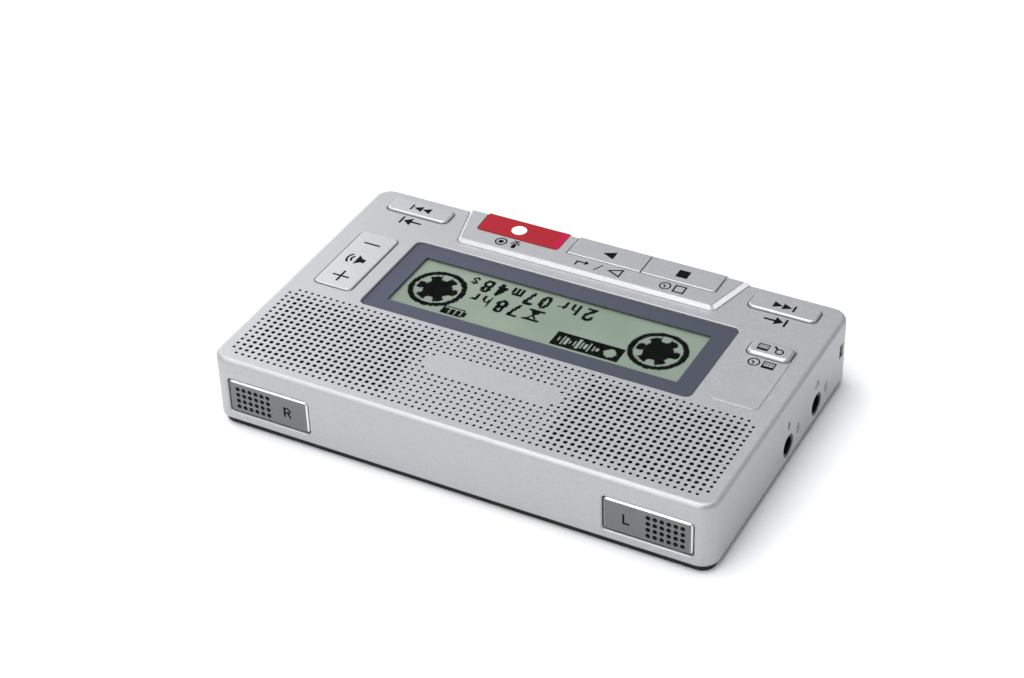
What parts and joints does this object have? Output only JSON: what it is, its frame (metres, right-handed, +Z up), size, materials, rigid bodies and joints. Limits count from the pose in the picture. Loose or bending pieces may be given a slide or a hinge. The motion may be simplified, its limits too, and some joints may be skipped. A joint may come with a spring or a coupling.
{
  "type": "pocket digital dictation recorder",
  "caption": "Cassette-sized pocket voice recorder with perforated speaker panel, display window, large record, play and stop keys, volume rocker, side sockets and a sliding battery door.",
  "frame": {"origin": "on the resting surface, at the middle of the case's plan", "axes": "+X along the case to the user's right, +Y away from the user towards the microphone edge, +Z up out of the key face"},
  "size_m": [0.1026, 0.0644, 0.0165],
  "materials": {
    "case_silver": "silver paint, satin",
    "bezel_bright": "bright plated bevel",
    "key_silver": "silver paint, satin",
    "key_red": "red, satin",
    "light_magenta": "translucent magenta",
    "window_lens": "clear hard coated lens",
    "lcd_glass": "grey green reflective display",
    "white_plastic": "moulded",
    "strip_rubber": "conductive elastomer",
    "board_green": "glass epoxy board",
    "chip_black": "moulded epoxy",
    "switch_steel": "stamped",
    "jack_black": "moulded",
    "mic_plate_grey": "dark metallic paint",
    "capsule_alu": "drawn can",
    "rubber_black": "moulded",
    "basket_steel": "zinc plated",
    "cone_paper": "treated paper",
    "magnet_steel": "nickel plated",
    "felt_black": "pressed felt",
    "foam_black": "closed foam",
    "cloth_black": "woven gauze",
    "cover_black": "fine moulded grain",
    "cell_jacket": "printed sleeve",
    "contact_nickel": "nickel plated",
    "screw_steel": "black zinc",
    "bar_steel": "polished",
    "knob_black": "ribbed"
  },
  "bodies": {
    "case": {"front_case": "case_silver", "speaker_grille": "case_silver", "key_bezel": "bezel_bright", "key_plate": "case_silver", "display_window": "window_lens", "screen_panel": "lcd_glass", "screen_frame": "white_plastic", "contact_strips": "strip_rubber", "main_board": "board_green", "tact_switches": "switch_steel", "board_chips": "chip_black", "earphone_jack": "jack_black", "microphone_jack": "jack_black", "mic_plate_right": "mic_plate_grey", "mic_plate_left": "mic_plate_grey", "mic_felt_right": "felt_black", "mic_felt_left": "felt_black", "mic_capsule_right": "capsule_alu", "mic_capsule_left": "capsule_alu", "mic_boot_right": "rubber_black", "mic_boot_left": "rubber_black", "speaker_basket": "basket_steel", "speaker_cone": "cone_paper", "speaker_magnet": "magnet_steel", "speaker_gasket": "foam_black", "dust_cloth": "cloth_black", "rear_cover": "cover_black", "cell_near": "cell_jacket", "cell_far": "cell_jacket", "battery_springs": "contact_nickel", "battery_plates": "contact_nickel", "case_screws": "screw_steel", "strap_bar": "bar_steel", "hold_switch": "chip_black"},
    "record_key": {"record_key": "key_red", "record_light": "light_magenta"},
    "play_key": {"play_key": "key_silver"},
    "stop_key": {"stop_key": "key_silver"},
    "skip_back_key": {"skip_back_key": "key_silver"},
    "skip_forward_key": {"skip_forward_key": "key_silver"},
    "search_key": {"search_key": "key_silver"},
    "volume_rocker": {"volume_rocker": "key_silver"},
    "hold_knob": {"hold_knob": "knob_black"},
    "battery_door": {"battery_door": "cover_black"}
  },
  "joints": [
    {"name": "record_press", "type": "slide", "parent": "case", "child": "record_key", "axis": [0, 0, -1], "range_m": [0, 0.0004], "stiffness_N_per_m": 1500, "springref_m": -0.0004},
    {"name": "play_press", "type": "slide", "parent": "case", "child": "play_key", "axis": [0, 0, -1], "range_m": [0, 0.0004], "stiffness_N_per_m": 1500, "springref_m": -0.0004},
    {"name": "stop_press", "type": "slide", "parent": "case", "child": "stop_key", "axis": [0, 0, -1], "range_m": [0, 0.0004], "stiffness_N_per_m": 1500, "springref_m": -0.0004},
    {"name": "skip_back_press", "type": "slide", "parent": "case", "child": "skip_back_key", "axis": [0, 0, -1], "range_m": [0, 0.0004], "stiffness_N_per_m": 1500, "springref_m": -0.0004},
    {"name": "skip_forward_press", "type": "slide", "parent": "case", "child": "skip_forward_key", "axis": [0, 0, -1], "range_m": [0, 0.0004], "stiffness_N_per_m": 1500, "springref_m": -0.0004},
    {"name": "search_press", "type": "slide", "parent": "case", "child": "search_key", "axis": [0, 0, -1], "range_m": [0, 0.0004], "stiffness_N_per_m": 1500, "springref_m": -0.0004},
    {"name": "volume_rock", "type": "hinge", "parent": "case", "child": "volume_rocker", "pos_m": [0.04215, -0.0064, 0.013], "axis": [1, 0, 0], "range_deg": [-2.4, 2.4], "stiffness_Nm_per_rad": 0.3},
    {"name": "hold_slide", "type": "slide", "parent": "case", "child": "hold_knob", "axis": [0, 1, 0], "range_m": [0, 0.003]},
    {"name": "door_slide", "type": "slide", "parent": "case", "child": "battery_door", "axis": [0, 1, 0], "range_m": [0, 0.026]}
  ]
}
